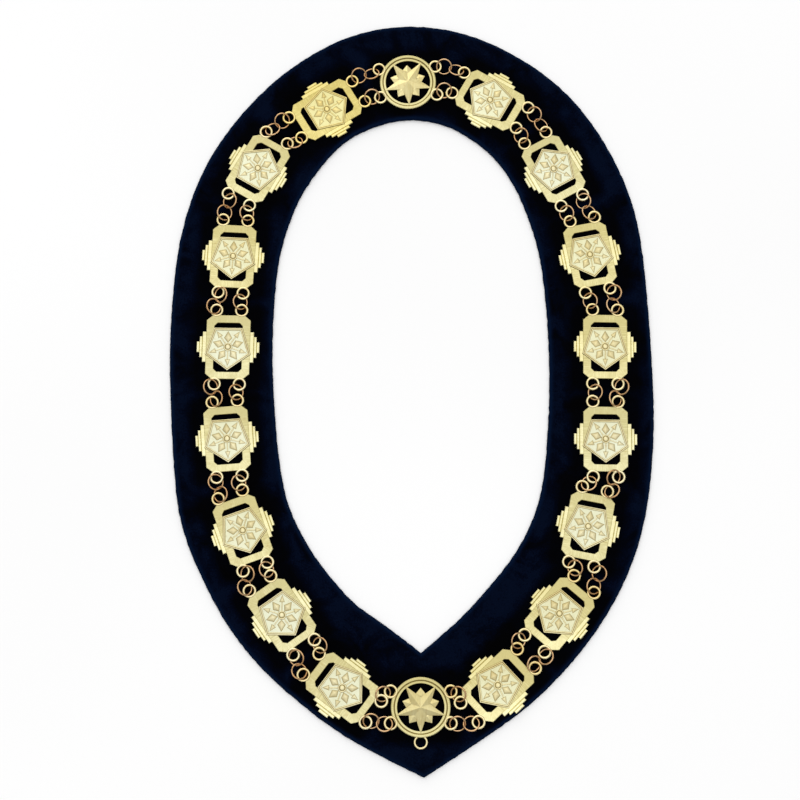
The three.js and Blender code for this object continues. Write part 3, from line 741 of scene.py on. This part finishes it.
# Velvet collar: its two edges are read from the frame's solid, then filled with a fine grid. The edge's
# profile is (in from the edge, level) in millimetres, from the underside up, and the halves are those of
# the space that a plate or a medallion presses flat
collarSizes = {"edgeLevel": 0.9 * mm, "thickness": 3.0 * mm, "stepsPerStation": 12, "across": 54,
               "pillow": 0.7 * mm, "under": 3.12 * mm, "edgeWander": 0.38 * mm, "pileRelief": 0.1 * mm,
               "edge": [(1.2, 0.0), (0.55, 0.08), (0.18, 0.45), (0.0, 0.95), (0.0, 1.5), (0.14, 2.05),
                        (0.42, 2.5), (0.85, 2.84), (1.45, 3.03)],
               "underColumns": 8, "bandWidth": 70, "rimSheenFade": 2.5, "rimSheenShare": 0.5, "crownTaper": 9,
               "clearFrom": 2 * mm, "clearOver": 14 * mm, "metalShadeFrom": -1 * mm, "metalShadeOver": 9 * mm,
               "wanderScale": 260, "grainScale": 900, "foldScale": 28, "foldShare": 0.35,
               "plateHalf": (22.0, 31.0), "medallionHalf": (25.0, 21.0), "pressedShare": 0.8,
               "ringReach": 7.5 * mm, "ringMiddle": 0.97, "ringSink": 0.72 * mm, "wireSpace": 0.8 * mm,
               "ringSlope": 1.6, "longestStep": 45 * mm}


# Orders the points of one edge by always stepping to the nearest one left
def walkLoop(points, start):
    left = list(range(len(points)))
    loop = [start]
    left.remove(start)
    while left:
        here = points[loop[-1]]
        nearest = min(left, key=lambda index: np.hypot(*(points[index] - here)))
        if np.hypot(*(points[nearest] - here)) > collarSizes["longestStep"]:
            break
        loop.append(nearest)
        left.remove(nearest)
    return loop, left


def collarEdges(values):
    corners = cornersOf("velvet_collar")
    ring = corners[np.abs(corners[:, 2] - values["edgeLevel"]) < 0.005 * mm][:, :2]
    loop, left = walkLoop(ring, int(ring[:, 1].argmin()))
    outer, inner = ring[loop], ring[left]
    loop, left = walkLoop(inner, int(inner[:, 1].argmin()))
    inner = inner[loop]
    # Both edges run the same way round, towards the left first
    edges = []
    for edge in (outer, inner):
        leftFirst = edge[1][0] < edge[0][0]
        edges.append(edge if leftFirst else np.vstack([edge[:1], edge[:0:-1]]))
    return edges


# Catmull-Rom curve through a closed loop, with a sharp corner at its first point
def smoothLoop(points, steps):
    count = len(points)
    closed = np.vstack([points, points[:1]])
    before = np.vstack([2 * points[:1] - points[1:2], closed[:-2]])
    after = np.vstack([closed[2:], 2 * closed[-1:] - closed[-2:-1]])
    made = []
    for index in range(count):
        a, b = closed[index], closed[index + 1]
        for step in range(steps):
            t = step / steps
            bend = 2 * before[index] - 5 * a + 4 * b - after[index]
            twist = -before[index] + 3 * a - 3 * b + after[index]
            made.append(a + 0.5 * t * (b - before[index] + t * (bend + t * twist)))
    return np.array(made)


# How far each point of the band lies from the nearest plate or medallion, roughly
def metalDistance(points, values):
    nearest = np.full(len(points), 1.0)
    pressed = values["pressedShare"]
    for node, place in {**platePlaces, **medallionPlaces}.items():
        turn = place.to_euler().z
        offset = points - np.array(place.translation[:2])
        local = np.column_stack([offset[:, 0] * math.cos(turn) + offset[:, 1] * math.sin(turn),
                                 offset[:, 1] * math.cos(turn) - offset[:, 0] * math.sin(turn)])
        half = np.array(values["plateHalf" if node in platePlaces else "medallionHalf"]) * mm
        outside = np.maximum(np.abs(local) - half * pressed, 0)
        nearest = np.minimum(nearest, np.hypot(outside[:, 0], outside[:, 1]) - half[0] * (1 - pressed))
    return np.maximum(nearest, 0)


# Presses the pile down where a jump ring dips into it
def belowRings(points, heights, values):
    for centre, normal in allRings:
        offset = points - centre[:2]
        reach = np.hypot(offset[:, 0], offset[:, 1])
        plane = centre[2] - (offset @ normal[:2]) / normal[2]
        wire = np.abs(reach - ringSizes["Ring Radius"] * values["ringMiddle"])
        clear = plane - values["ringSink"] + np.maximum(wire - values["wireSpace"], 0) * values["ringSlope"]
        heights = np.where(reach < values["ringReach"], np.minimum(heights, clear), heights)
    return heights


def wandering(points, scale, layer):
    return np.array([noise.noise(Vector((x * scale, y * scale, layer))) for x, y in points])


def collarPiece(values):
    outer, inner = [smoothLoop(edge, values["stepsPerStation"]) for edge in collarEdges(values)]
    stations, across = len(outer), values["across"]
    band = inner - outer
    width = np.hypot(band[:, 0], band[:, 1])[:, None]
    inward = band / width
    edge = values["edge"]
    # The rim share sets where the edge pile grows and how much painted sheen is mixed into the velvet; it
    # fades in over the band near the edges
    columns, levels, rims = [], [], []
    wander = values["edgeWander"] * wandering(outer, values["wanderScale"], 3.0)[:, None]
    wanderInner = values["edgeWander"] * wandering(inner, values["wanderScale"], 9.0)[:, None]
    for depth, level in edge:
        columns.append(outer + inward * (depth * mm + wander))
        levels.append(level * mm)
        rims.append(1.0 if level > 0.5 else 0.7)
    first, last = columns[-1], inner - inward * (edge[-1][0] * mm + wanderInner)
    for step in range(1, across):
        share = step / across
        columns.append(first + (last - first) * share)
        levels.append(values["under"])
        nearEdge = min(share, 1 - share) * values["bandWidth"]
        rims.append(max(0.0, 1 - nearEdge / values["rimSheenFade"]) * values["rimSheenShare"])
    for depth, level in reversed(edge):
        columns.append(inner - inward * (depth * mm + wanderInner))
        levels.append(level * mm)
        rims.append(1.0 if level > 0.5 else 0.7)
    topCount = len(columns)
    edgeCount = len(edge)
    for step in range(1, values["underColumns"]):
        share = step / values["underColumns"]
        columns.append(columns[topCount - 1] + (columns[0] - columns[topCount - 1]) * share)
        levels.append(0.0)
        rims.append(0.0)
    count = len(columns)
    points = np.stack(columns, axis=1)
    heights = np.tile(np.array(levels), (stations, 1))
    flatPoints = points[:, edgeCount:topCount - edgeCount].reshape(-1, 2)
    toMetal = metalDistance(flatPoints, values)
    clear = np.clip((toMetal - values["clearFrom"]) / values["clearOver"], 0, 1)
    crest = flatPoints.shape[0] // stations
    share = np.tile((np.arange(crest) + 1) / (crest + 1), stations)
    taper = np.clip(np.minimum(share, 1 - share) * values["crownTaper"], 0, 1)
    pillow = values["pillow"] * clear * clear * (3 - 2 * clear) * taper * (2 - taper)
    grain = wandering(flatPoints, values["grainScale"], 0.0)
    folds = wandering(flatPoints, values["foldScale"], 5.0)
    flatHeights = (values["under"] + pillow * (1 + values["foldShare"] * folds)
                   + values["pileRelief"] * grain * (0.4 + clear))
    flatHeights = belowRings(flatPoints, flatHeights, values)
    heights[:, edgeCount:topCount - edgeCount] = flatHeights.reshape(stations, crest)
    mesh = bpy.data.meshes.new("velvet_band")
    corners = np.concatenate([points, heights[:, :, None]], axis=2).reshape(-1, 3)
    faces = []
    for station in range(stations):
        after = (station + 1) % stations
        for column in range(count):
            beside = (column + 1) % count
            faces.append((station * count + column, station * count + beside,
                          after * count + beside, after * count + column))
    mesh.from_pydata(corners.tolist(), [], faces)
    mesh.materials.append(velvet)
    mesh.materials.append(backing)
    slots = [1 if face % count >= topCount - 1 else 0 for face in range(len(faces))]
    mesh.polygons.foreach_set("material_index", slots)
    mesh.polygons.foreach_set("use_smooth", [True] * len(faces))
    # Shade is painted onto the velvet near the plates and medallions; the edges and underside are left out of
    # it
    outOfShadeShares = np.ones((stations, count))
    outOfShade = np.clip((toMetal - values["metalShadeFrom"]) / values["metalShadeOver"], 0, 1)
    outOfShadeShares[:, edgeCount:topCount - edgeCount] = outOfShade.reshape(stations, crest)
    for label, shares in (("rim", rims * stations), ("napInLight", outOfShadeShares.ravel())):
        mesh.attributes.new(label, "FLOAT", "POINT").data.foreach_set("value", shares)
    return newObject("velvet_band", mesh)


collar = collarPiece(collarSizes)
print("velvet band made:", len(collar.data.polygons), "faces")


# Short upright fibres over the rounded edges, where the pile shows against the light floor
pileSizes = {"Density": 5.2e6, "Fibre Length": 0.36 * mm, "Fibre Radius": 0.06 * mm, "Seed": 11,
             "rimFrom": 0.85, "leanMost": 0.5, "turnMost": 6.28, "sizes": (0.6, 1.25)}


def pileTree(values):
    tree, given, result = geometryTree("edgePile", [
        ("Density", "NodeSocketFloat"), ("Fibre Length", "NodeSocketFloat"),
        ("Fibre Radius", "NodeSocketFloat"), ("Seed", "NodeSocketInt"), ("Material", "NodeSocketMaterial")])
    nodes, links = tree.nodes, tree.links
    rim = nodes.new("GeometryNodeInputNamedAttribute")
    rim.data_type = "FLOAT"
    rim.inputs["Name"].default_value = "rim"
    onEdge = addNode(nodes, "FunctionNodeCompare", data_type="FLOAT", operation="GREATER_THAN")
    links.new(rim.outputs["Attribute"], onEdge.inputs[0])
    onEdge.inputs[1].default_value = values["rimFrom"]
    scatter = nodes.new("GeometryNodeDistributePointsOnFaces")
    links.new(given.outputs["Geometry"], scatter.inputs["Mesh"])
    links.new(onEdge.outputs[0], scatter.inputs["Selection"])
    links.new(given.outputs["Density"], scatter.inputs["Density"])
    links.new(given.outputs["Seed"], scatter.inputs["Seed"])
    fibre = nodes.new("GeometryNodeMeshCone")
    fibre.inputs["Vertices"].default_value = 3
    fibre.inputs["Radius Top"].default_value = 0.0
    links.new(given.outputs["Fibre Radius"], fibre.inputs["Radius Bottom"])
    links.new(given.outputs["Fibre Length"], fibre.inputs["Depth"])
    lean = nodes.new("FunctionNodeRandomValue")
    lean.data_type = "FLOAT_VECTOR"
    most = values["leanMost"]
    lean.inputs[0].default_value = (-most, -most, 0)
    lean.inputs[1].default_value = (most, most, values["turnMost"])
    links.new(given.outputs["Seed"], lean.inputs["Seed"])
    size = nodes.new("FunctionNodeRandomValue")
    size.inputs[2].default_value, size.inputs[3].default_value = values["sizes"]
    links.new(given.outputs["Seed"], size.inputs["Seed"])
    place = turnedInstances(tree, scatter.outputs["Points"], fibre.outputs["Mesh"],
                            scatter.outputs["Rotation"], lean.outputs[0])
    links.new(size.outputs[1], place.inputs["Scale"])
    finishTree(tree, place.outputs["Instances"], given, result, False)
    return tree


pile = realized(collar, pileTree(pileSizes), {**pileSizes, "Material": velvet}, "velvet_edge_pile")
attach(collar, "root")
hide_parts("velvet_collar")
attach(pile, "root")
print("edge pile made:", len(pile.data.polygons), "faces")


# A plain pale floor, a bright sky that fades towards the horizon, and one large soft light
studio = {"floorSize": 80.0, "floor": 0.93, "floorWander": 0.01, "floorGlow": (0.264, 0.234),
          "glowReach": 0.28, "skyTop": 1.24, "skyMiddle": 0.42, "skyHorizon": 0.24,
          "skyLevels": (0.68, 0.92), "skyLeanDegrees": 9.0, "softSize": 2.6, "softPower": 20.0,
          "softPlace": (-0.5, 2.6, 1.15)}


def makeStudio(values):
    material, nodes, links, shader = newMaterial("pale_floor")
    shader.inputs["Roughness"].default_value = 0.9
    shader.inputs["Specular IOR Level"].default_value = 0.1
    place = nodes.new("ShaderNodeTexCoord")
    faint = addNode(nodes, "ShaderNodeTexNoise", Scale=3.0, Detail=1.0)
    links.new(place.outputs["Object"], faint.inputs["Vector"])
    low, high = values["floor"] - values["floorWander"], values["floor"] + values["floorWander"]
    colour = ramp(nodes, links, faint.outputs["Fac"], [(0.3, (low,) * 3), (0.7, (high,) * 3)])
    links.new(colour, shader.inputs["Base Color"])
    links.new(colour, shader.inputs["Emission Color"])
    # The floor glows a little more in front, where less of the soft light falls
    split = nodes.new("ShaderNodeSeparateXYZ")
    links.new(place.outputs["Object"], split.inputs[0])
    glow = addNode(nodes, "ShaderNodeMapRange")
    links.new(split.outputs["Y"], glow.inputs["Value"])
    front, back = values["floorGlow"]
    reach = values["glowReach"]
    for label, value in (("From Min", -reach), ("From Max", reach), ("To Min", front), ("To Max", back)):
        glow.inputs[label].default_value = value
    links.new(glow.outputs["Result"], shader.inputs["Emission Strength"])
    mesh = bpy.data.meshes.new("floor")
    reach = values["floorSize"] / 2
    mesh.from_pydata([(-reach, -reach, 0), (reach, -reach, 0), (reach, reach, 0), (-reach, reach, 0)],
                     [], [(0, 1, 2, 3)])
    mesh.materials.append(material)
    newObject("floor", mesh)
    world = bpy.data.worlds.new("studioSky")
    world.use_nodes = True
    nodes, links = world.node_tree.nodes, world.node_tree.links
    place = nodes.new("ShaderNodeTexCoord")
    lean = nodes.new("ShaderNodeMapping")
    lean.inputs["Rotation"].default_value = (math.radians(values["skyLeanDegrees"]), 0, 0)
    split = nodes.new("ShaderNodeSeparateXYZ")
    links.new(place.outputs["Generated"], lean.inputs["Vector"])
    links.new(lean.outputs["Vector"], split.inputs[0])
    middle, top = values["skyLevels"]
    stops = [(0.0, values["skyHorizon"]), (middle, values["skyMiddle"]), (top, 1.0), (1.0, 1.0)]
    sky = ramp(nodes, links, split.outputs["Z"], [(level, (share,) * 3) for level, share in stops])
    background = nodes["Background"]
    background.inputs["Strength"].default_value = values["skyTop"]
    links.new(sky, background.inputs["Color"])
    bpy.context.scene.world = world
    light = bpy.data.lights.new("softLight", "AREA")
    light.size = values["softSize"]
    light.energy = values["softPower"]
    lightObject = newObject("softLight", light)
    lightObject.location = values["softPlace"]
    lightObject.rotation_euler = Vector(values["softPlace"]).to_track_quat("Z", "Y").to_euler()
    bpy.context.scene.view_settings.view_transform = "Standard"


makeStudio(studio)
print("studio made")
